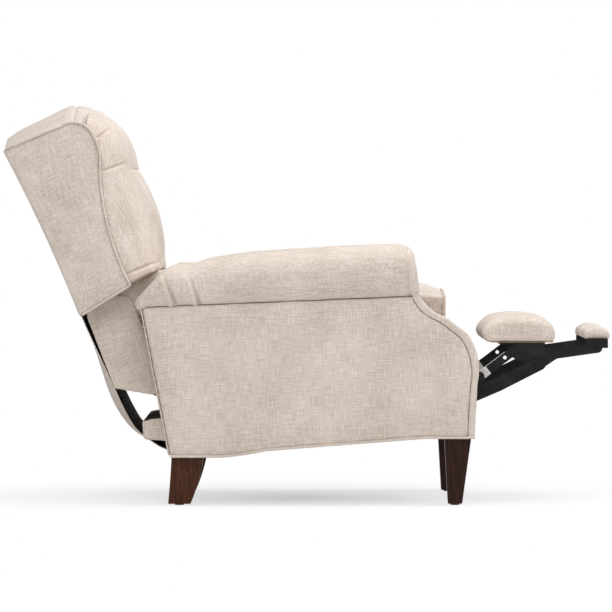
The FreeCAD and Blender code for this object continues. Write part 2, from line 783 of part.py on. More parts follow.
def footrest_bracket():
    """Side plate of the footrest with a flange folded in under the board."""
    plate = flat_link(
        [(BRACKET_PIVOT, FLIPPER_PIVOT), (BRACKET_PIVOT, BRACKET_EAR), (BRACKET_EAR, FLIPPER_PIVOT)],
        BRACKET_RADIUS, BRACKET_LAYER, [BRACKET_PIVOT, FLIPPER_PIVOT],
    )
    flange = seat_block(
        front(62, 0)[0], front(177, 0)[0], BRACKET_LAYER[1] - FLANGE_WIDTH, BRACKET_LAYER[1],
        PAD_FOOT - STEEL, PAD_FOOT,
    )
    web = seat_block(
        BRACKET_PIVOT[0] + PIN_HEAD_RADIUS, front(177, 0)[0], *BRACKET_LAYER,
        FLIPPER_PIVOT[1] - FRONT_LEG_HEIGHT, PAD_FOOT,
    )
    return joined([plate, web, flange])


def flipper_arm():
    """Arm of the small pad with a flange folded in under its board."""
    reach = front(307, 217)
    plate = flat_link([(FLIPPER_PIVOT, reach)], FLIPPER_RADIUS, FLIPPER_LAYER, [FLIPPER_PIVOT])
    x0, x1 = front(280, 0)[0], front(333, 0)[0]
    web = seat_block(x0, x1, *FLIPPER_LAYER, reach[1] - FRONT_LEG_HEIGHT, FLIPPER_FOOT)
    flange = seat_block(
        x0, x1, FLIPPER_LAYER[1] - FLANGE_WIDTH, FLIPPER_LAYER[1], FLIPPER_FOOT - STEEL, FLIPPER_FOOT
    )
    return joined([plate, web, flange])


def footrest_pad():
    """Domed footrest pad, lower at its ends."""
    foot = FRONT_LEG_HEIGHT + PAD_FOOT
    sections = []
    for share, rise in ((-1, PAD_END_DROP), (-0.9, 0.97), (0, 1), (0.9, 0.97), (1, PAD_END_DROP)):
        def at(x, z, rise=rise):
            return FRONT + x, foot + z * rise

        sections.append(
            wire(
                at(34, 0),
                [
                    at(15, 20),
                    at(29, 46) + at(68, 62.5),
                    at(114, 68) + at(160, 63),
                    at(199, 45) + at(209, 22),
                    at(203, 0),
                ],
                share * PAD_HALF,
            )
        )
    return Part.makeLoft(sections, True, True)


def flipper_pad():
    """Small loaf-shaped pad."""
    foot = FRONT_LEG_HEIGHT + FLIPPER_FOOT
    sections = []
    for share, rise in ((-1, 0.8), (-0.9, 0.96), (0, 1), (0.9, 0.96), (1, 0.8)):
        def at(x, z, rise=rise):
            return FRONT + x, foot + z * rise

        sections.append(
            wire(
                at(279, 0),
                [
                    at(271, 11) + at(280, 26),
                    at(307, 36) + at(334, 26),
                    at(343, 11) + at(336, 0),
                ],
                share * FLIPPER_HALF,
            )
        )
    return Part.makeLoft(sections, True, True)


def build_footrest():
    build_links()
    save_pair("footrest_bracket", footrest_bracket())
    save_group("bracket_pins", [
        pin(BRACKET_PIVOT, BRACKET_LAYER[0], UPPER_LINK_LAYER[1] + PIN_END_PLAY, "outer"),
        pin(FLIPPER_PIVOT, FLIPPER_LAYER[0] - PIN_END_PLAY, BRACKET_LAYER[1], "inner"),
    ])
    half = PAD_HALF - BOARD_EDGE
    board = seat_block(
        front(44, 0)[0], front(198, 0)[0], -half, half, PAD_FOOT, PAD_FOOT + FOOTREST_BOARD
    )
    save("footrest_board", board)
    save("footrest_pad", footrest_pad().cut(board))
    half = FLIPPER_HALF - BOARD_EDGE
    board = seat_block(
        front(287, 0)[0], front(329, 0)[0], -half, half, FLIPPER_FOOT, FLIPPER_FOOT + FLIPPER_BOARD
    )
    save_group("flipper_arms", [flipper_arm()])
    save("flipper_board", board)
    save("flipper_pad", flipper_pad().cut(board))


build_arms()
build_base()
build_seat()
build_back()
build_footrest()
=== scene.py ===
"""Wing-back push-back recliner, leaned back, footrest open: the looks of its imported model."""

import math

import bmesh
import bpy
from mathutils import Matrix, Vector, kdtree


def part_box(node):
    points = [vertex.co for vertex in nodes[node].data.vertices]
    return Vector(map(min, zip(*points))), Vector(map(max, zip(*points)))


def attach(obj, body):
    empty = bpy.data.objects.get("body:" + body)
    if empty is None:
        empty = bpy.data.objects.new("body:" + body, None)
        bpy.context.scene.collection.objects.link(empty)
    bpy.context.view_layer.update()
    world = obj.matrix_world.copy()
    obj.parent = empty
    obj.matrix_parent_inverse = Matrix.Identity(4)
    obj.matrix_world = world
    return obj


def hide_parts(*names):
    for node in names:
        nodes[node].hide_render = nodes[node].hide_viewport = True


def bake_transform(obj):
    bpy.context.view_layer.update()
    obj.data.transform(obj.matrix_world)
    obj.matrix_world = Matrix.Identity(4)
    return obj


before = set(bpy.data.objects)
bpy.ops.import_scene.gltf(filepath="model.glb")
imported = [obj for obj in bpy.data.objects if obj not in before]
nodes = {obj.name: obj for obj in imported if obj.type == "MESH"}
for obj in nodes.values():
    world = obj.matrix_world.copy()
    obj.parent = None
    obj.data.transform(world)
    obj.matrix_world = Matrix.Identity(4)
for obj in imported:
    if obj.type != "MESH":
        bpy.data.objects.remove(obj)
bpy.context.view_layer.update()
scene = bpy.context.scene
scene.view_settings.view_transform = "Standard"


# Frame boards and rails: poplar and plywood, sawn, planed and left raw, glued and screwed together.
# The covers hide all but their undersides and ends.
RAW_WOOD = ((0.40, 0.27, 0.15), (0.58, 0.43, 0.27), (0.66, 0.52, 0.35))
RAW_ROUGHNESS = 0.8
RAW_GRAIN = 0.006
RAW_TOOTH = 0.0006
GRAIN_RUN = 40
PORES_PER_GRAIN = 5
PORE_SHARE = 0.25


def new_finish(name, roughness):
    """New material, with its node tree and its shader."""
    material = bpy.data.materials.new(name)
    material.use_nodes = True
    shader = material.node_tree.nodes["Principled BSDF"]
    shader.inputs["Roughness"].default_value = roughness
    return material, material.node_tree, shader


def streaks(tree, size, lean=0.0, detail=2.0):
    """Noise on the piece's own coordinates; size is one streak's length along X, Y and Z."""
    place = tree.nodes.new("ShaderNodeTexCoord")
    drawn = tree.nodes.new("ShaderNodeMapping")
    drawn.vector_type = "TEXTURE"
    drawn.inputs["Rotation"].default_value = (0, lean, 0)
    drawn.inputs["Scale"].default_value = size
    cloud = tree.nodes.new("ShaderNodeTexNoise")
    cloud.inputs["Scale"].default_value = 1
    cloud.inputs["Detail"].default_value = detail
    tree.links.new(place.outputs["Object"], drawn.inputs["Vector"])
    tree.links.new(drawn.outputs["Vector"], cloud.inputs["Vector"])
    return cloud.outputs["Fac"]


def reckon(tree, operation, a, b):
    """Math node on two values, each a number or another node's output."""
    node = tree.nodes.new("ShaderNodeMath")
    node.operation = operation
    for socket, value in zip(node.inputs, (a, b)):
        if isinstance(value, (int, float)):
            socket.default_value = value
        else:
            tree.links.new(value, socket)
    return node.outputs["Value"]


def tint(tree, value, low, high, colours):
    """Colours run through evenly as value goes from low to high."""
    ramp = tree.nodes.new("ShaderNodeValToRGB")
    stops = ramp.color_ramp.elements
    while len(stops) < len(colours):
        stops.new(0.5)
    for index, colour in enumerate(colours):
        stops[index].position = low + (high - low) * index / (len(colours) - 1)
        stops[index].color = (*colour, 1)
    tree.links.new(value, ramp.inputs["Fac"])
    return ramp.outputs["Color"]


def relief(tree, shader, value, depth):
    """Bump on the surface, depth in metres from the lowest value to the highest."""
    bump = tree.nodes.new("ShaderNodeBump")
    bump.inputs["Distance"].default_value = depth
    tree.links.new(value, bump.inputs["Height"])
    tree.links.new(bump.outputs["Normal"], shader.inputs["Normal"])


def timber(name, colours, roughness, length, width, depth):
    """Wood with its grain along length, an axis vector, and grain lines of the given width."""
    material, tree, shader = new_finish(name, roughness)
    size = [width + axis * GRAIN_RUN * width for axis in length]
    grain = streaks(tree, size, detail=5)
    pores = streaks(tree, [value / PORES_PER_GRAIN for value in size], detail=2)
    grain_part = reckon(tree, "MULTIPLY", grain, 1 - PORE_SHARE)
    figure = reckon(tree, "ADD", grain_part, reckon(tree, "MULTIPLY", pores, PORE_SHARE))
    tree.links.new(tint(tree, figure, 0.34, 0.66, colours), shader.inputs["Base Color"])
    relief(tree, shader, figure, depth)
    return material


def dress(material, *names):
    """Give carried-over CAD nodes their finish."""
    for name in names:
        for slot in nodes[name].material_slots:
            slot.material = material


def raw_wood(name, length):
    """Raw timber with its grain along length."""
    return timber(name, RAW_WOOD, RAW_ROUGHNESS, length, RAW_GRAIN, RAW_TOOTH)


dress(
    raw_wood("raw_wood_across", (0, 1, 0)),
    "front_stretcher", "seat_rear_rail", "seat_front_rail", "back_rails", "back_lower_rail",
    "footrest_board", "flipper_board",
)
dress(
    raw_wood("raw_wood_along", (1, 0, 0)),
    "left_arm_board", "right_arm_board", "track_rails", "mechanism_rails", "seat_side_rails",
)
dress(raw_wood("raw_wood_upright", (0, 0, 1)), "back_posts")


# Legs: solid walnut stained dark, the front pair square and tapered, the rear pair swept back.
# Corners are sanded round, and a hanger bolt through the top holds each under its arm board.
# The two pairs share one stain: the front pair's darker colours are painted shade, and the rear
# pair's lighter ones are painted light.
SHADED_FRONT_WALNUT = ((0.012, 0.003, 0.002), (0.026, 0.008, 0.005), (0.046, 0.015, 0.009))
LIT_REAR_WALNUT = ((0.030, 0.008, 0.002), (0.062, 0.020, 0.008), (0.095, 0.034, 0.014))
LEG_ROUGHNESS = 0.42
LEG_GLOSS = 0.15
LEG_GRAIN = 0.005
LEG_TOOTH = 0.00015
LEG_CORNER = 0.003
SHORTEST_CORNER = 0.0015
SAME_POINT = 0.00002
FLAT_ANGLE = math.radians(0.5)
SHARP_ANGLE = 0.7


def own_mesh(name, node):
    """New object on a copy of a CAD node's mesh with its triangles joined."""
    piece = bpy.data.objects.new(name, nodes[node].data.copy())
    piece.data.materials.clear()
    scene.collection.objects.link(piece)
    shell = bmesh.new()
    shell.from_mesh(piece.data)
    bmesh.ops.remove_doubles(shell, verts=shell.verts, dist=SAME_POINT)
    shell.to_mesh(piece.data)
    shell.free()
    return piece


def sand_corners(piece, width, shortest):
    """Round the sharp edges that are longer than shortest."""
    shell = bmesh.new()
    shell.from_mesh(piece.data)
    bmesh.ops.dissolve_limit(shell, angle_limit=FLAT_ANGLE, verts=shell.verts, edges=shell.edges)
    whole = [edge for edge in shell.edges if edge.is_manifold and edge.calc_length() > shortest]
    sharp = [edge for edge in whole if edge.calc_face_angle() > SHARP_ANGLE]
    bmesh.ops.bevel(
        shell, geom=sharp, offset=width, segments=3, affect="EDGES", profile=0.5, material=-1,
        clamp_overlap=True,
    )
    bmesh.ops.recalc_face_normals(shell, faces=shell.faces)
    shell.to_mesh(piece.data)
    shell.free()


# Front legs get the darker walnut colours, which are painted shade; rear legs get the lighter ones,
# which are painted light.
for end, colours in (("front", SHADED_FRONT_WALNUT), ("rear", LIT_REAR_WALNUT)):
    walnut = timber(end + "_walnut", colours, LEG_ROUGHNESS, (0, 0, 1), LEG_GRAIN, LEG_TOOTH)
    shader = walnut.node_tree.nodes["Principled BSDF"]
    shader.inputs["Specular IOR Level"].default_value = LEG_GLOSS
    for hand in ("left", "right"):
        node = f"{hand}_{end}_leg"
        leg = own_mesh(node + "_walnut", node)
        sand_corners(leg, LEG_CORNER, SHORTEST_CORNER)
        leg.data.materials.append(walnut)
        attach(leg, "base")
        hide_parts(node)


# Hardware: zinc-plated bolts, screws and slide channels, black moulded nylon glides and runners.
# All are bought-in pieces, fixed before the covers go on.
ZINC = ((0.42, 0.41, 0.38), (0.62, 0.61, 0.57), (0.74, 0.73, 0.69))
ZINC_SPANGLE = 0.004
NYLON = ((0.010, 0.010, 0.010), (0.022, 0.022, 0.023))
NYLON_PEBBLE = 0.0012
FINE_TOOTH = 0.0001


def zinc_spangle(tree):
    """Cloudy pattern of zinc plate, and its colour."""
    cloud = streaks(tree, (ZINC_SPANGLE, ZINC_SPANGLE, ZINC_SPANGLE), detail=4)
    return cloud, tint(tree, cloud, 0.3, 0.7, ZINC)


zinc, tree, shader = new_finish("zinc_plate", 0.36)
spangle, colour = zinc_spangle(tree)
tree.links.new(colour, shader.inputs["Base Color"])
shader.inputs["Metallic"].default_value = 1
relief(tree, shader, spangle, FINE_TOOTH)
dress(zinc, "leg_bolts", "plate_screws", "seat_tracks")

nylon, tree, shader = new_finish("black_nylon", 0.5)
pebble = streaks(tree, (NYLON_PEBBLE, NYLON_PEBBLE, NYLON_PEBBLE), detail=3)
tree.links.new(tint(tree, pebble, 0.3, 0.7, NYLON), shader.inputs["Base Color"])
relief(tree, shader, pebble, FINE_TOOTH)
dress(nylon, "leg_glides", "seat_runners")


# Mechanism: flat bars and plates pressed from 3 mm steel, sheared edges rolled over by tumbling,
# dipped in black enamel and riveted to each other. The upper links' lower ends are coloured in the
# zinc colours.
ENAMEL = ((0.002, 0.002, 0.002), (0.006, 0.006, 0.006), (0.018, 0.017, 0.016))
ENAMEL_CLOUD = 0.03
ENAMEL_PEEL = 0.002
TUMBLED_EDGE = 0.0006
LINK_WAY = (0.8, 0.6)
PALE_END_LIMIT = 0.554
STEEL_NODES = (
    "mechanism_plates", "left_hinge_arm", "right_hinge_arm", "front_links", "rear_links",
    "torque_tube", "upper_links", "lower_links", "left_footrest_bracket", "right_footrest_bracket",
    "flipper_arms",
)


def enamelled(name):
    """Black enamel, with its node tree, its shader and its colour."""
    material, tree, shader = new_finish(name, 0.42)
    shader.inputs["Specular IOR Level"].default_value = 0.22
    film = streaks(tree, (ENAMEL_CLOUD, ENAMEL_CLOUD, ENAMEL_CLOUD), detail=6)
    colour = tint(tree, film, 0.35, 0.75, ENAMEL)
    tree.links.new(colour, shader.inputs["Base Color"])
    peel = streaks(tree, (ENAMEL_PEEL, ENAMEL_PEEL, ENAMEL_PEEL), detail=2)
    relief(tree, shader, peel, FINE_TOOTH)
    return material, tree, shader, colour


enamel = enamelled("black_enamel")[0]
dress(enamel, *STEEL_NODES, "base_pivot_pins", "bracket_pins", "elbow_pins")

# Upper links: the enamel, with the zinc colours on their lower ends.
pale_ended_enamel, tree, shader, colour = enamelled("enamel_and_pale_end")
place = tree.nodes.new("ShaderNodeTexCoord")
axes = tree.nodes.new("ShaderNodeSeparateXYZ")
tree.links.new(place.outputs["Object"], axes.inputs["Vector"])
forward = reckon(tree, "MULTIPLY", axes.outputs["X"], LINK_WAY[0])
along = reckon(tree, "ADD", forward, reckon(tree, "MULTIPLY", axes.outputs["Z"], LINK_WAY[1]))
# The link's lower end takes the zinc colours, and the rest takes the enamel's.
pale_end = reckon(tree, "LESS_THAN", along, PALE_END_LIMIT)
# A Mix node for colours has them on inputs 6 and 7 and output 2.
either = tree.nodes.new("ShaderNodeMix")
either.data_type = "RGBA"
for socket, value in ((0, pale_end), (6, colour), (7, zinc_spangle(tree)[1])):
    tree.links.new(value, either.inputs[socket])
tree.links.new(either.outputs[2], shader.inputs["Base Color"])
dress(pale_ended_enamel, "upper_links")

for name in STEEL_NODES:
    weld = nodes[name].modifiers.new("joined", "WELD")
    weld.merge_threshold = SAME_POINT
    edge = nodes[name].modifiers.new("tumbled_edge", "BEVEL")
    edge.width = TUMBLED_EDGE
    edge.segments = 2
    edge.limit_method = "ANGLE"
    edge.angle_limit = math.radians(40)


# Webbing and deck cloth: woven elastic straps across the seat and the back, and a black lining cloth
# over the seat's straps. Both are stapled to the frame rails.
WEBBING = ((0.012, 0.010, 0.009), (0.030, 0.025, 0.022), (0.055, 0.047, 0.042))


def woven(name, colours, warp, weft, depth):
    """Dull dark cloth; warp and weft are the size of one thread along X, Y and Z."""
    material, tree, shader = new_finish(name, 0.9)
    yarn = reckon(tree, "ADD", streaks(tree, warp), streaks(tree, weft))
    shade = tint(tree, reckon(tree, "MULTIPLY", yarn, 0.5), 0.35, 0.65, colours)
    tree.links.new(shade, shader.inputs["Base Color"])
    relief(tree, shader, yarn, depth)
    return material


webbing = woven("dark_webbing", WEBBING, (0.02, 0.0015, 0.0015), (0.0012, 0.02, 0.0012), 0.0005)
dress(webbing, "back_straps", "seat_webbing", "seat_deck")


# Arm covers: oatmeal linen-look cloth over felt on the outside, rear and inside of each arm board.
# The cloth is stapled under the board, and a self-welt hides the edge along the foot.
LINEN = ((0.43, 0.358, 0.297), (0.635, 0.548, 0.477), (0.82, 0.735, 0.665))
THREAD = 0.0021
SLUB_LENGTH = 0.034
BOLT_CLOUD = 0.12
BOLT_SHARE = 0.18
STITCH = 0.002
WELT_RADIUS = 0.0033
WELT_STEP = 0.012
FOOT_RISE = 0.047
FOOT_WELT_PROUD = 0.001
TOE_SETBACK = 0.0105
REAR_LAP = 0.005
SIDES = (("right", -1), ("left", 1))


def linen(name, lean=0.0):
    """Slubbed plain weave with its threads along X, Y and Z, turned by lean about Y."""
    material, tree, shader = new_finish(name, 0.92)
    weave = streaks(tree, (SLUB_LENGTH, THREAD, THREAD), lean)
    for size in ((THREAD, SLUB_LENGTH, THREAD), (THREAD, THREAD, SLUB_LENGTH)):
        weave = reckon(tree, "ADD", weave, streaks(tree, size, lean))
    weave = reckon(tree, "MULTIPLY", weave, 1 / 3)
    bolt = streaks(tree, (BOLT_CLOUD, BOLT_CLOUD, BOLT_CLOUD))
    bolt_part = reckon(tree, "MULTIPLY", bolt, BOLT_SHARE)
    tone = reckon(tree, "ADD", reckon(tree, "MULTIPLY", weave, 1 - BOLT_SHARE), bolt_part)
    tree.links.new(tint(tree, tone, 0.36, 0.64, LINEN), shader.inputs["Base Color"])
    relief(tree, shader, weave, 0.0012)
    shader.inputs["Sheen Weight"].default_value = 0.12
    shader.inputs["Sheen Roughness"].default_value = 0.5
    return material


def settle(piece):
    """Make the modifiers' result the piece's own mesh."""
    graph = bpy.context.evaluated_depsgraph_get()
    made = bpy.data.meshes.new_from_object(piece.evaluated_get(graph))
    piece.modifiers.clear()
    piece.data = made


def relax(shell, points, rounds):
    """Rounds of smoothing over points of an open mesh."""
    for _ in range(rounds):
        bmesh.ops.smooth_vert(
            shell, verts=points, factor=0.5, use_axis_x=True, use_axis_y=True, use_axis_z=True
        )


def ease(piece, rounds):
    """Rounds of smoothing over a whole piece."""
    shell = bmesh.new()
    shell.from_mesh(piece.data)
    relax(shell, shell.verts, rounds)
    shell.to_mesh(piece.data)
    shell.free()


def cover(name, node, cell, easing):
    """Cloth skin of even cells over a CAD node, its corners eased by rounds of smoothing."""
    piece = own_mesh(name, node)
    even = piece.modifiers.new("even", "REMESH")
    even.mode = "VOXEL"
    even.voxel_size = cell
    settle(piece)
    ease(piece, easing)
    return piece


def edge_chain(node, wanted):
    """Points in order along the longest run of a CAD node's edges that pass wanted, a test."""
    shell = bmesh.new()
    shell.from_mesh(nodes[node].data)
    bmesh.ops.remove_doubles(shell, verts=shell.verts, dist=SAME_POINT)
    shell.normal_update()
    left = {edge.index for edge in shell.edges if edge.is_manifold and wanted(edge)}
    shell.edges.ensure_lookup_table()
    chains = []
    while left:
        first = shell.edges[min(left)]
        left.discard(first.index)
        chain = list(first.verts)
        for end in (-1, 0):
            going = True
            while going:
                ahead = [edge for edge in chain[end].link_edges if edge.index in left]
                going = bool(ahead)
                if ahead:
                    left.discard(ahead[0].index)
                    chain.insert(len(chain) if end else 0, ahead[0].other_vert(chain[end]))
        chains.append([vert.co.copy() for vert in chain])
    shell.free()
    return max(chains, key=lambda points: sum((b - a).length for a, b in zip(points, points[1:])))


def face_rim(node, side):
    """Rim of a CAD node's flat face that looks to the sitter's right, side -1, or left, 1."""
    def on_rim(edge):
        return sum(face.normal.y * side > 0.98 for face in edge.link_faces) == 1

    return edge_chain(node, on_rim)


def spaced(line, step):
    """Points along a line, no further apart than step."""
    points = []
    for a, b in zip(line, line[1:]):
        count = max(1, math.ceil((b - a).length / step))
        points += [a.lerp(b, index / count) for index in range(count)]
    return points + [line[-1]]


def tree_of(points):
    """Search tree over points."""
    found = kdtree.KDTree(len(points))
    for index, point in enumerate(points):
        found.insert(point, index)
    found.balance()
    return found


def reshape(piece, move):
    """Shift each point of a piece's mesh by move(point)."""
    shell = bmesh.new()
    shell.from_mesh(piece.data)
    shell.normal_update()
    for vert in shell.verts:
        vert.co += move(vert)
    shell.to_mesh(piece.data)
    shell.free()


def plump(piece, line, way, height, reach):
    """Raise the face that looks one way, from its rim inwards, to height at reach from the rim."""
    near = tree_of(spaced(line, STITCH))

    def raised(vert):
        share = min(1.0, near.find(vert.co)[2] / reach) if vert.normal.dot(way) > 0.5 else 0
        return way * height * math.sin(share * math.pi / 2)

    reshape(piece, raised)


def sew(piece, line, depth, width, where=None):
    """Draw the cloth in along a line of (x, z) or (x, z, share of depth) points, seen sideways."""
    points = spaced([Vector((*point, 1)[:3]) for point in line], STITCH)
    stitches = tree_of([Vector((point.x, point.y, 0)) for point in points])
    shell = bmesh.new()
    shell.from_mesh(piece.data)
    shell.normal_update()
    close = {
        vert for vert in shell.verts
        if stitches.find((vert.co.x, vert.co.z, 0))[2] < 1.6 * width
        and (where is None or where(vert))
    }
    seam_edges = [edge for edge in shell.edges if close.issuperset(edge.verts)]
    bmesh.ops.subdivide_edges(shell, edges=seam_edges, cuts=1, use_grid_fill=True)
    shell.normal_update()
    for vert in shell.verts:
        if where is None or where(vert):
            _, index, distance = stitches.find((vert.co.x, vert.co.z, 0))
            if distance < width:
                pull = points[index].z * (1 - (distance / width) ** 2) ** 2
                vert.co -= vert.normal * depth * pull
    shell.to_mesh(piece.data)
    shell.free()


def tailored(piece, body, material, *replaced):
    """Smooth, coloured and fixed to its body, in place of its CAD nodes."""
    piece.data.materials.clear()
    piece.data.materials.append(material)
    piece.data.shade_smooth()
    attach(piece, body)
    if replaced:
        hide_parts(*replaced)
    return piece


def welt(name, line, body, material):
    """Cloth-covered cord sewn along a line."""
    curve = bpy.data.curves.new(name, "CURVE")
    curve.dimensions = "3D"
    curve.bevel_depth = WELT_RADIUS
    curve.bevel_resolution = 3
    curve.use_fill_caps = True
    points = spaced(line, WELT_STEP)
    spline = curve.splines.new("POLY")
    spline.points.add(len(points) - 1)
    for point, place in zip(spline.points, points):
        point.co = (*place, 1)
    rope = bpy.data.objects.new(name + "_line", curve)
    scene.collection.objects.link(rope)
    graph = bpy.context.evaluated_depsgraph_get()
    piece = bpy.data.objects.new(name, bpy.data.meshes.new_from_object(rope.evaluated_get(graph)))
    bpy.data.objects.remove(rope)
    scene.collection.objects.link(piece)
    return tailored(piece, body, material)


def lapped(vert):
    """Side faces of the rear strips let out over the arm's cloth."""
    outer = vert.co.y * vert.normal.y > 0
    return Vector((0, REAR_LAP * vert.normal.y * outer, 0))


arm_linen = linen("arm_linen")
for hand, side in SIDES:
    out = Vector((0, side, 0))
    node = hand + "_outside_arm"
    outline = face_rim(node, side)
    panel = cover(node + "_cloth", node, cell=0.005, easing=3)
    plump(panel, outline, out, height=0.004, reach=0.06)
    tailored(panel, "base", arm_linen, node)
    foot_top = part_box(node)[0].z + FOOT_RISE
    foot = sorted((p for p in outline if p.z < foot_top), key=lambda p: p.x)
    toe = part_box(hand + "_arm_facing")[1].x - TOE_SETBACK
    foot_line = [p + out * FOOT_WELT_PROUD for p in foot]
    foot_line.append(Vector((toe, foot[-1].y, foot[-1].z)))
    welt(hand + "_foot_welt", foot_line, "base", arm_linen)

    node = hand + "_inside_arm"
    panel = cover(node + "_cloth", node, cell=0.006, easing=3)
    plump(panel, face_rim(node, -side), -out, height=0.003, reach=0.05)
    tailored(panel, "base", arm_linen, node)

panel = cover("arm_rear_panels_cloth", "arm_rear_panels", cell=0.004, easing=2)
reshape(panel, lapped)
tailored(panel, "base", arm_linen, "arm_rear_panels")


# Arm facings: a padded band of the same cloth down the scooped front of each arm, sewn to the
# outside panel with a plain seam and tucked under the arm roll.
FACING_END = Vector((-0.42, 0, 0.9))
FACING_REACH = 0.03
FACING_TUCK = 0.016

for hand, _ in SIDES:
    node = hand + "_arm_facing"
    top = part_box(node)[1].z

    def tucked(vert):
        """Upper end pushed on, under the roll."""
        at_end = vert.co.z > top - FACING_REACH and vert.normal.dot(FACING_END) > 0.5
        return FACING_END * FACING_TUCK * at_end

    band = cover(node + "_cloth", node, cell=0.004, easing=4)
    reshape(band, tucked)
    tailored(band, "base", arm_linen, node)


# Arm rolls: cloth drawn over a round of fibre on the arm top, closed by an end cap in front and
# pleated in behind, where it meets the outside panel.
ROLL_SWELL = 0.006
FOLD_SHARE = 0.35
FILLING_STEPS = 20
ROLL_REAR = 0.13
ROLL_REAR_BLEND = 0.03
ROLL_REAR_FILL = 0.016
END_CAP = ((-0.028, 1.0), (-0.036, 0.55), (-0.030, 0.25), (-0.017, 0.0))
PLEATS = (
    ((0.092, 0.04, 1.0), (0.084, 0.18, 0.9), (0.072, 0.36, 0.5), (0.058, 0.58, 0.0)),
    ((0.152, 0.04, 1.0), (0.145, 0.18, 0.9), (0.135, 0.34, 0.45), (0.122, 0.54, 0.0)),
)
PLEAT_LIP = 0.010


def puff(piece, held, swell, limit):
    """Blow the cloth skin up from a shape drawn in by swell; held tells which points are sewn down.

    The skin keeps a share of the folds that this makes, and moves by limit at most.
    """
    piece.data.update()
    start = [vert.co.copy() for vert in piece.data.vertices]
    fixed = [vert.index for vert in piece.data.vertices if held(vert)]
    drawn_in = [vert.co - vert.normal * swell for vert in piece.data.vertices]
    for index in set(range(len(start))) - set(fixed):
        piece.data.vertices[index].co = drawn_in[index]
    piece.vertex_groups.new(name="sewn").add(fixed, 1.0, "REPLACE")
    cloth = piece.modifiers.new("cloth", "CLOTH")
    cloth.settings.quality = 6
    cloth.settings.mass = 0.2
    cloth.settings.tension_stiffness = 12
    cloth.settings.compression_stiffness = 12
    cloth.settings.shear_stiffness = 4
    cloth.settings.bending_stiffness = 0.4
    cloth.settings.use_pressure = True
    cloth.settings.uniform_pressure_force = 4
    cloth.settings.vertex_group_mass = "sewn"
    cloth.settings.effector_weights.gravity = 0
    for step in range(1, FILLING_STEPS + 1):
        scene.frame_set(step)
    blown = piece.evaluated_get(bpy.context.evaluated_depsgraph_get()).data
    places = [vert.co.copy() for vert in blown.vertices]
    piece.modifiers.remove(cloth)
    scene.frame_set(1)
    for vert, kept, place in zip(piece.data.vertices, start, places):
        move = (place - kept) * FOLD_SHARE
        vert.co = kept + move * min(1.0, limit / max(move.length, 1e-9))
    piece.vertex_groups.clear()


def finer(piece):
    """One round of subdivision, made the piece's own mesh."""
    fine = piece.modifiers.new("fine", "SUBSURF")
    fine.levels = fine.render_levels = 1
    settle(piece)


for hand, side in SIDES:
    node = hand + "_arm_roll"
    low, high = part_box(node)
    rise = high.z - low.z

    def stuffed(vert):
        """Rear end filled out towards the back."""
        rear = min(1, max(0, (low.x + ROLL_REAR - vert.co.x) / ROLL_REAR_BLEND))
        return vert.normal * ROLL_REAR_FILL * rear * max(0, min(1, -2 * vert.normal.x))

    def outer(vert):
        """Whether the cloth looks away from the sitter."""
        return vert.normal.y * side > 0.2

    roll = cover(node + "_cloth", node, cell=0.007, easing=3)
    puff(roll, lambda vert: vert.normal.z < -0.8, ROLL_SWELL, limit=0.004)
    finer(roll)
    reshape(roll, stuffed)
    ease(roll, 4)
    cap = [(high.x + x, low.z + share * rise) for x, share in END_CAP]
    sew(roll, cap, depth=0.0045, width=0.006, where=outer)
    for pleat in PLEATS:
        fold = [(low.x + x, low.z + height * rise, share) for x, height, share in pleat]
        lip = [(x - PLEAT_LIP, z, share) for x, z, share in fold]
        sew(roll, fold, depth=0.009, width=0.007, where=outer)
        sew(roll, lip, depth=-0.004, width=0.010, where=outer)
    ease(roll, 1)
    tailored(roll, "base", arm_linen, node)


# Rear rail: hardwood across the base behind the seat, screwed between the arm boards. It is wrapped
# in the linen, and its top is left in dark lining cloth.
LINING = ((0.010, 0.006, 0.004), (0.024, 0.014, 0.010), (0.045, 0.028, 0.020))


def lined(piece, inside):
    """Second material, the lining, on the faces that pass inside, a test."""
    piece.data.materials.append(lining)
    for face in piece.data.polygons:
        face.material_index = int(inside(face))


lining = woven("dark_lining", LINING, (0.012, 0.001, 0.001), (0.001, 0.012, 0.001), 0.0004)
rail = cover("rear_rail_cloth", "rear_rail", cell=0.005, easing=2)
tailored(rail, "base", arm_linen, "rear_rail")
lined(rail, lambda face: face.normal.z > 0.7)


# Seat cushion: a loose foam core in a boxed linen cover that lies on the deck cloth. Welts are sewn
# round its top and bottom edges, where the boxing strip meets the panels.
CUSHION_SWELL = 0.010
BOXING_ANGLE = 0.45
SEAM_ALLOWANCE = 0.008
UNDERSIDE = 0.004


def boxing_edge(wanted):
    """Sharp edge round the cushion; wanted is a test on the height over its underside."""
    def sewn_here(edge):
        heights = [vert.co.z - low.z for vert in edge.verts]
        return edge.calc_face_angle() > BOXING_ANGLE and all(wanted(height) for height in heights)

    return edge_chain("seat_cushion", sewn_here)


def cushion_held(vert):
    """Whether a point is by a welt or on the underside."""
    near = min(stitch.find(vert.co)[2] for stitch in (top_stitch, bottom_stitch))
    return near < SEAM_ALLOWANCE or vert.co.z < low.z + UNDERSIDE


cushion = cover("seat_cushion_cloth", "seat_cushion", cell=0.008, easing=2)
low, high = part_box("seat_cushion")
top_edge = boxing_edge(lambda height: height > 0.02)
bottom_edge = boxing_edge(lambda height: height < 0.001)
top_stitch = tree_of(spaced(top_edge, STITCH))
bottom_stitch = tree_of(spaced(bottom_edge, STITCH))
puff(cushion, cushion_held, CUSHION_SWELL, limit=0.008)
finer(cushion)
tailored(cushion, "seat", arm_linen, "seat_cushion")
welt("cushion_top_welt", top_edge, "seat", arm_linen)
welt("cushion_bottom_welt", bottom_edge, "seat", arm_linen)


# Seat pull-in: a strip of linen that closes the gap behind the cushion. It is tacked to the seat's
# rear rail and hangs down a little behind it.
PULL_IN = ((-0.264, 0.4315), (-0.290, 0.430), (-0.316, 0.422))
PULL_IN_HALF = 0.256
PULL_IN_CLOTH = 0.0015


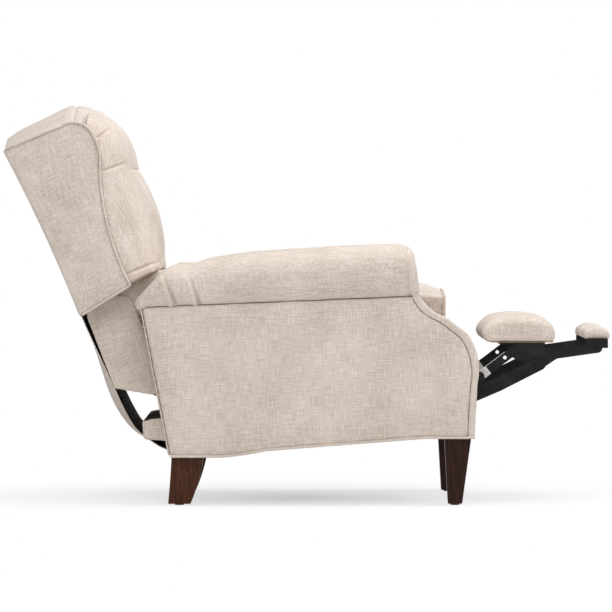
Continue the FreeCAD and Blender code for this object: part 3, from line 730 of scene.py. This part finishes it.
def cloth_sheet(name, line, low_y, high_y, steps, outward):
    """Sheet with an even grid: a line of (x, z) points swept across, its faces looking outward."""
    sheet = bmesh.new()
    chain = [sheet.verts.new((x, low_y, z)) for x, z in line]
    runs = [sheet.edges.new(pair) for pair in zip(chain, chain[1:])]
    bmesh.ops.subdivide_edges(sheet, edges=runs, cuts=7)
    bends = [vert for vert in sheet.verts if len(vert.link_edges) == 2]
    relax(sheet, bends, 8)
    strip = list(sheet.edges)
    for _ in range(steps):
        grown = bmesh.ops.extrude_edge_only(sheet, edges=strip)["geom"]
        moved = {item for item in grown if isinstance(item, bmesh.types.BMVert)}
        edges = [item for item in grown if isinstance(item, bmesh.types.BMEdge)]
        strip = [edge for edge in edges if moved.issuperset(edge.verts)]
        bmesh.ops.translate(sheet, verts=list(moved), vec=(0, (high_y - low_y) / steps, 0))
    bmesh.ops.recalc_face_normals(sheet, faces=sheet.faces)
    sheet.faces.ensure_lookup_table()
    if sheet.faces[0].normal.dot(outward) < 0:
        bmesh.ops.reverse_faces(sheet, faces=sheet.faces)
    piece = bpy.data.objects.new(name, bpy.data.meshes.new(name))
    sheet.to_mesh(piece.data)
    sheet.free()
    scene.collection.objects.link(piece)
    return piece


def layered(sheet, thickness):
    """Modifier that gives a sheet its thickness."""
    layer = sheet.modifiers.new("layer", "SOLIDIFY")
    layer.thickness = thickness
    return layer


upward = Vector((0, 0, 1))
pull_in = cloth_sheet("seat_pull_in", PULL_IN, -PULL_IN_HALF, PULL_IN_HALF, 8, upward)
layered(pull_in, PULL_IN_CLOTH)
tailored(pull_in, "seat", arm_linen)


# Seat border: a strip of linen wrapped round the rail under the front of the cushion, from arm to
# arm, and stapled behind it.
BORDER_CLOTH = 0.002
BORDER_SPREAD = 0.13


def wrapped(vert):
    """Cloth over the rail's faces, let out sideways to the arms."""
    return vert.normal * BORDER_CLOTH + Vector((0, BORDER_SPREAD * vert.co.y, 0))


border = cover("seat_front_border", "seat_front_rail", cell=0.004, easing=1)
reshape(border, wrapped)
tailored(border, "seat", arm_linen)


# Lower back: linen pulled over boards beside the posts, and a filled pad in front of them that
# meets the seat.
LEAN = math.radians(-22)
LUMBAR_SWELL = 0.006
LUMBAR_SPREAD = 0.035
LUMBAR_TUCK = 0.010
BOX_LAP = 0.050


def lumbar_fit(vert):
    """Ends let out to the sides, and the top pushed up under the pillow."""
    return Vector((0, vert.co.y * LUMBAR_SPREAD, LUMBAR_TUCK * max(0, vert.normal.z)))


back_linen = linen("back_linen", LEAN)
box_sides = cover("lower_back_sides_cloth", "lower_back_sides", cell=0.0035, easing=3)
reshape(box_sides, lambda vert: Vector((BOX_LAP * max(0, vert.normal.x), 0, 0)))
tailored(box_sides, "back", back_linen, "lower_back_sides")

lumbar = cover("lumbar_pad_cloth", "lumbar_pad", cell=0.007, easing=3)
puff(lumbar, lambda vert: vert.normal.x < -0.3, LUMBAR_SWELL, limit=0.004)
finer(lumbar)
reshape(lumbar, lumbar_fit)
tailored(lumbar, "back", back_linen, "lumbar_pad")


# Wings: padded side panels of the back, with a welt sewn round the outside. A strip of cloth closes
# each one's underside, from its foot to the lower back.
WING_WELT_STEP = 0.004
WING_WELT_PROUD = 0.0012
WING_FOOT = ((-0.561, 0.464), (-0.440, 0.5385))
WING_HEM = (0.270, 0.338)
WING_HEM_CLOTH = 0.003


def from_foot(outline):
    """Outline from its lowest point round the front to its rearmost, without the rear edge."""
    points = outline[:-1] if (outline[0] - outline[-1]).length < 1e-6 else list(outline)
    first = points.index(min(points, key=lambda p: p.z))
    points = points[first:] + points[:first]
    if points[1].x < points[-1].x:
        points = points[:1] + points[:0:-1]
    return points[:points.index(min(points, key=lambda p: p.x)) + 1]


for hand, side in SIDES:
    out = Vector((0, side, 0))
    node = hand + "_wing"
    outline = face_rim(node, side)
    panel = cover(node + "_cloth", node, cell=0.005, easing=3)
    plump(panel, outline, out, height=0.007, reach=0.07)
    tailored(panel, "back", back_linen, node)
    sewn = spaced(from_foot(outline), WING_WELT_STEP)[2:-2]
    welt(hand + "_wing_welt", [p + out * WING_WELT_PROUD for p in sewn], "back", back_linen)
    inner, outer_edge = (side * y for y in WING_HEM)
    hem = cloth_sheet(hand + "_wing_hem", WING_FOOT, inner, outer_edge, 6, -upward)
    layered(hem, WING_HEM_CLOTH)
    tailored(hem, "back", back_linen)


# Back pillow: one fibre-filled linen cover, sewn to the wings along its sides. Seams part the head
# roll from the rest, and its top rear edge is tucked in under the back top.
PILLOW_SWELL = 0.012
PILLOW_SEAMS = (
    ((-0.530, 0.888), (-0.512, 0.908), (-0.490, 0.925, 0.6)),
    ((-0.515, 0.818), (-0.480, 0.830), (-0.452, 0.840, 0.4)),
    ((-0.440, 0.827, 0.2), (-0.420, 0.826), (-0.380, 0.826)),
    ((-0.450, 0.566), (-0.400, 0.586), (-0.385, 0.592, 0.7), (-0.365, 0.597, 0.0)),
)
HEAD_START = -0.522
HEAD_LENGTH = 0.05
HEAD_DROP = 0.016
HEAD_FLOOR = 0.86


def head_tuck(vert):
    """Top rear edge drawn down, under the boxing strip of the back top."""
    share = min(1, max(0, (HEAD_START - vert.co.x) / HEAD_LENGTH))
    return Vector((0, 0, -HEAD_DROP * share * (vert.co.z > HEAD_FLOOR)))


pillow = cover("back_pillow_cloth", "back_pillow", cell=0.008, easing=3)
puff(pillow, lambda vert: vert.normal.x < -0.45, PILLOW_SWELL, limit=0.006)
finer(pillow)
reshape(pillow, head_tuck)
for seam in PILLOW_SEAMS:
    sew(pillow, seam, depth=0.0048, width=0.0055, where=lambda vert: vert.normal.x > -0.3)
tailored(pillow, "back", back_linen, "back_pillow")


# Back top and outside back: a crowned strip of padded linen over the top rail, and a panel of the
# same cloth, tacked to the posts, that closes the rear.
CROWN_SEAM = ((-0.577, 0.86), (-0.584, 1.02))
CROWN_TUCK = Vector((0.038, 0, -0.012))
CROWN_START = -0.600
CROWN_LENGTH = 0.17
CROWN_DROP = 0.020
CROWN_HALF = 0.314
CLOSING_TOP = 0.012


def crown_fall(vert):
    """Front edge tucked into the pillow, and the rear half lower than its CAD solid."""
    if vert.normal.x > 0.5:
        return CROWN_TUCK
    rear = math.sin(math.pi * min(1, max(0, (CROWN_START - vert.co.x) / CROWN_LENGTH)))
    middle = 1 - (vert.co.y / CROWN_HALF) ** 2
    return Vector((0, 0, -CROWN_DROP * rear * middle * max(0, vert.normal.z)))


crown = cover("back_top_cloth", "back_top", cell=0.005, easing=3)
reshape(crown, crown_fall)
ease(crown, 2)
sew(crown, CROWN_SEAM, depth=0.003, width=0.005)
tailored(crown, "back", back_linen, "back_top")

closing = cover("outside_back_cloth", "outside_back", cell=0.006, easing=3)
up = Vector((math.sin(LEAN), 0, math.cos(LEAN)))
reshape(closing, lambda vert: up * (CLOSING_TOP if vert.normal.dot(up) > 0.5 else 0))
tailored(closing, "back", back_linen, "outside_back")


# Back flap: a sheet of linen lined in dark cloth, tacked to the foot of the back and to the rear
# rail. It hangs slack while the back is down and draws straight when the back comes up.
FLAP_LINE = (
    (-0.5625, 0.465), (-0.479, 0.246), (-0.436, 0.178), (-0.373, 0.140), (-0.3465, 0.131),
)
FLAP_THICKNESS = 0.002
FLAP_BELLY = 0.014
FLAP_DRAW = 0.012
low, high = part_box("back_flap")


def belly(vert):
    """Middle bulging out and side edges drawn in, most below the middle of the drop."""
    drop = min(1, max(0, (high.z - vert.co.z) / (high.z - low.z)))
    edge = (vert.co.y / high.y) ** 2
    bulge = FLAP_BELLY * (1 - edge) - FLAP_DRAW * edge
    return vert.normal * math.sin(math.pi * drop**1.5) * bulge


flap = cloth_sheet("back_flap_cloth", FLAP_LINE, low.y, high.y, 40, Vector((-1, 0, -0.3)))
reshape(flap, belly)
flap.data.materials.append(back_linen)
flap.data.materials.append(lining)
flap.data.shade_smooth()
layered(flap, FLAP_THICKNESS).material_offset = 1
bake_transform(flap)
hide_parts("back_flap")


# Footrest pads: foam on plywood boards, the large one on the brackets and the small one on the
# flipper arms. One piece of linen covers each and is stapled below, under a dark lining.
PAD_SWELL = 0.007
PAD_HELD = 0.003
PAD_RIM = 0.018

for node, body, easing in (("footrest_pad", "footrest", 14), ("flipper_pad", "flipper", 8)):
    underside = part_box(node)[0].z

    def pulled_down(vert):
        """Rim drawn down to the board's underside."""
        height = vert.co.z - underside
        return Vector((0, 0, -height * max(0, 1 - max(0, height) / PAD_RIM)))

    pad = cover(node + "_cloth", node, cell=0.006, easing=easing)
    puff(pad, lambda vert: vert.co.z < underside + PAD_HELD, PAD_SWELL, limit=0.004)
    finer(pad)
    reshape(pad, pulled_down)
    tailored(pad, body, arm_linen, node)
    lined(pad, lambda face: face.normal.z < -0.9)


# Studio: a white floor and white surroundings, even soft light from the front and above, and a long
# lens square to the sitter's right side.
VIEW_WIDTH = 1.4994
VIEW_CENTRE = (-0.0059, 0.490)
CAMERA_DISTANCE = 13.0
CAMERA_HEIGHT = 0.713
AMBIENT = 0.45
SHADOW_REACH = 1.1
SHADOW_SHARE = 0.5
FLOOR_HALF = 30


def aim(thing, target):
    """Turn a camera or lamp to look at a point."""
    thing.rotation_euler = (Vector(target) - thing.location).to_track_quat("-Z", "Y").to_euler()


def softbox(name, place, target, size, power):
    """Square-cornered area lamp."""
    lamp = bpy.data.lights.new(name, "AREA")
    lamp.shape = "RECTANGLE"
    lamp.size, lamp.size_y = size
    lamp.energy = power
    box = bpy.data.objects.new(name, lamp)
    scene.collection.objects.link(box)
    box.location = place
    aim(box, target)


def seen_by(tree, *rays):
    """One for rays of these kinds, and zero for all others."""
    path = tree.nodes.new("ShaderNodeLightPath")
    found = path.outputs[rays[0]]
    for ray in rays[1:]:
        found = reckon(tree, "MAXIMUM", found, path.outputs[ray])
    return found


near_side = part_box("right_outside_arm")[0].y
lens = bpy.data.cameras.new("camera")
lens.sensor_width = 36
lens.lens = lens.sensor_width * CAMERA_DISTANCE / VIEW_WIDTH
lens.clip_end = 100
camera = bpy.data.objects.new("camera", lens)
scene.collection.objects.link(camera)
camera.location = (VIEW_CENTRE[0], near_side - CAMERA_DISTANCE, CAMERA_HEIGHT)
aim(camera, (VIEW_CENTRE[0], near_side, VIEW_CENTRE[1]))
scene.camera = camera

softbox("front_softbox", (-0.6, -3.6, 3.0), (-0.1, 0, 0.6), size=(2.6, 2.2), power=50)
softbox("top_softbox", (0.9, -0.4, 3.0), (-0.2, 0, 0.6), size=(2.6, 2.6), power=70)

world = bpy.data.worlds.new("studio")
scene.world = world
world.use_nodes = True
tree = world.node_tree
background = tree.nodes["Background"]
background.inputs["Color"].default_value = (1, 1, 1, 1)
direct = seen_by(tree, "Is Camera Ray", "Is Glossy Ray", "Is Transmission Ray")
strength = reckon(tree, "ADD", reckon(tree, "MULTIPLY", direct, 1 - AMBIENT), AMBIENT)
tree.links.new(strength, background.inputs["Strength"])

floor_mesh = bpy.data.meshes.new("floor")
slab = bmesh.new()
bmesh.ops.create_grid(slab, x_segments=1, y_segments=1, size=FLOOR_HALF)
slab.to_mesh(floor_mesh)
slab.free()
floor = bpy.data.objects.new("floor", floor_mesh)
scene.collection.objects.link(floor)
white, tree, shader = new_finish("white_floor", 0.9)
shader.inputs["Base Color"].default_value = (0.9, 0.9, 0.9, 1)
shader.inputs["Specular IOR Level"].default_value = 0
glow = tree.nodes.new("ShaderNodeEmission")
both = tree.nodes.new("ShaderNodeMixShader")
place = tree.nodes.new("ShaderNodeTexCoord")
drawn = tree.nodes.new("ShaderNodeMapping")
drawn.vector_type = "TEXTURE"
drawn.inputs["Scale"].default_value = (SHADOW_REACH, SHADOW_REACH, SHADOW_REACH)
fade = tree.nodes.new("ShaderNodeTexGradient")
fade.gradient_type = "SPHERICAL"
tree.links.new(place.outputs["Object"], drawn.inputs["Vector"])
tree.links.new(drawn.outputs["Vector"], fade.inputs["Vector"])
shade = reckon(tree, "MULTIPLY", fade.outputs["Fac"], SHADOW_SHARE)
bright = reckon(tree, "SUBTRACT", 1.0, shade)
direct = seen_by(tree, "Is Camera Ray", "Is Glossy Ray")
tree.links.new(reckon(tree, "MULTIPLY", direct, bright), both.inputs["Fac"])
tree.links.new(shader.outputs["BSDF"], both.inputs[1])
tree.links.new(glow.outputs["Emission"], both.inputs[2])
tree.links.new(both.outputs["Shader"], tree.nodes["Material Output"].inputs["Surface"])
floor_mesh.materials.append(white)
